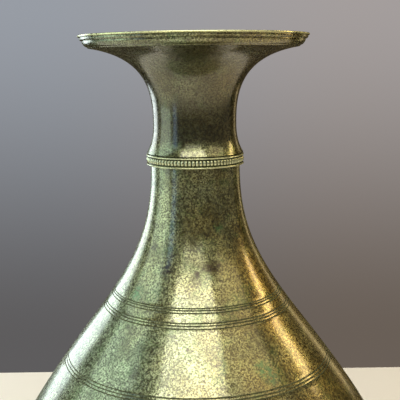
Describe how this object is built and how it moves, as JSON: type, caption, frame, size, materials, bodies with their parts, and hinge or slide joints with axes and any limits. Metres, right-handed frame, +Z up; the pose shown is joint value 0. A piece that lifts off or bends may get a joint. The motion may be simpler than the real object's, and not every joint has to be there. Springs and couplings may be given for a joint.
{
  "type": "bronze vase",
  "caption": "Bottle vase of patinated bronze with a wide dished mouth, a slender neck, a beaded neck collar, turned lines and a pear-shaped body on a foot ring.",
  "frame": {"origin": "centre of the foot's resting plane", "axes": "+Z up along the vase's axis of revolution; X and Y level"},
  "size_m": [0.223, 0.223, 0.35],
  "materials": {
    "patina_neck": "glossy speckled green-brown patina",
    "patina_body": "glossy speckled green-brown patina",
    "patina_collar": "rubbed pale green patina",
    "patina_foot": "dark brown patina",
    "patina_plate": "dull dark patina",
    "solder": "dull grey solder"
  },
  "bodies": {
    "root": {"mouth_neck": "patina_neck", "neck_collar": "patina_collar", "body": "patina_body", "foot_ring": "patina_foot", "base_plate": "patina_plate", "neck_solder": "solder", "base_solder": "solder"}
  },
  "joints": []
}
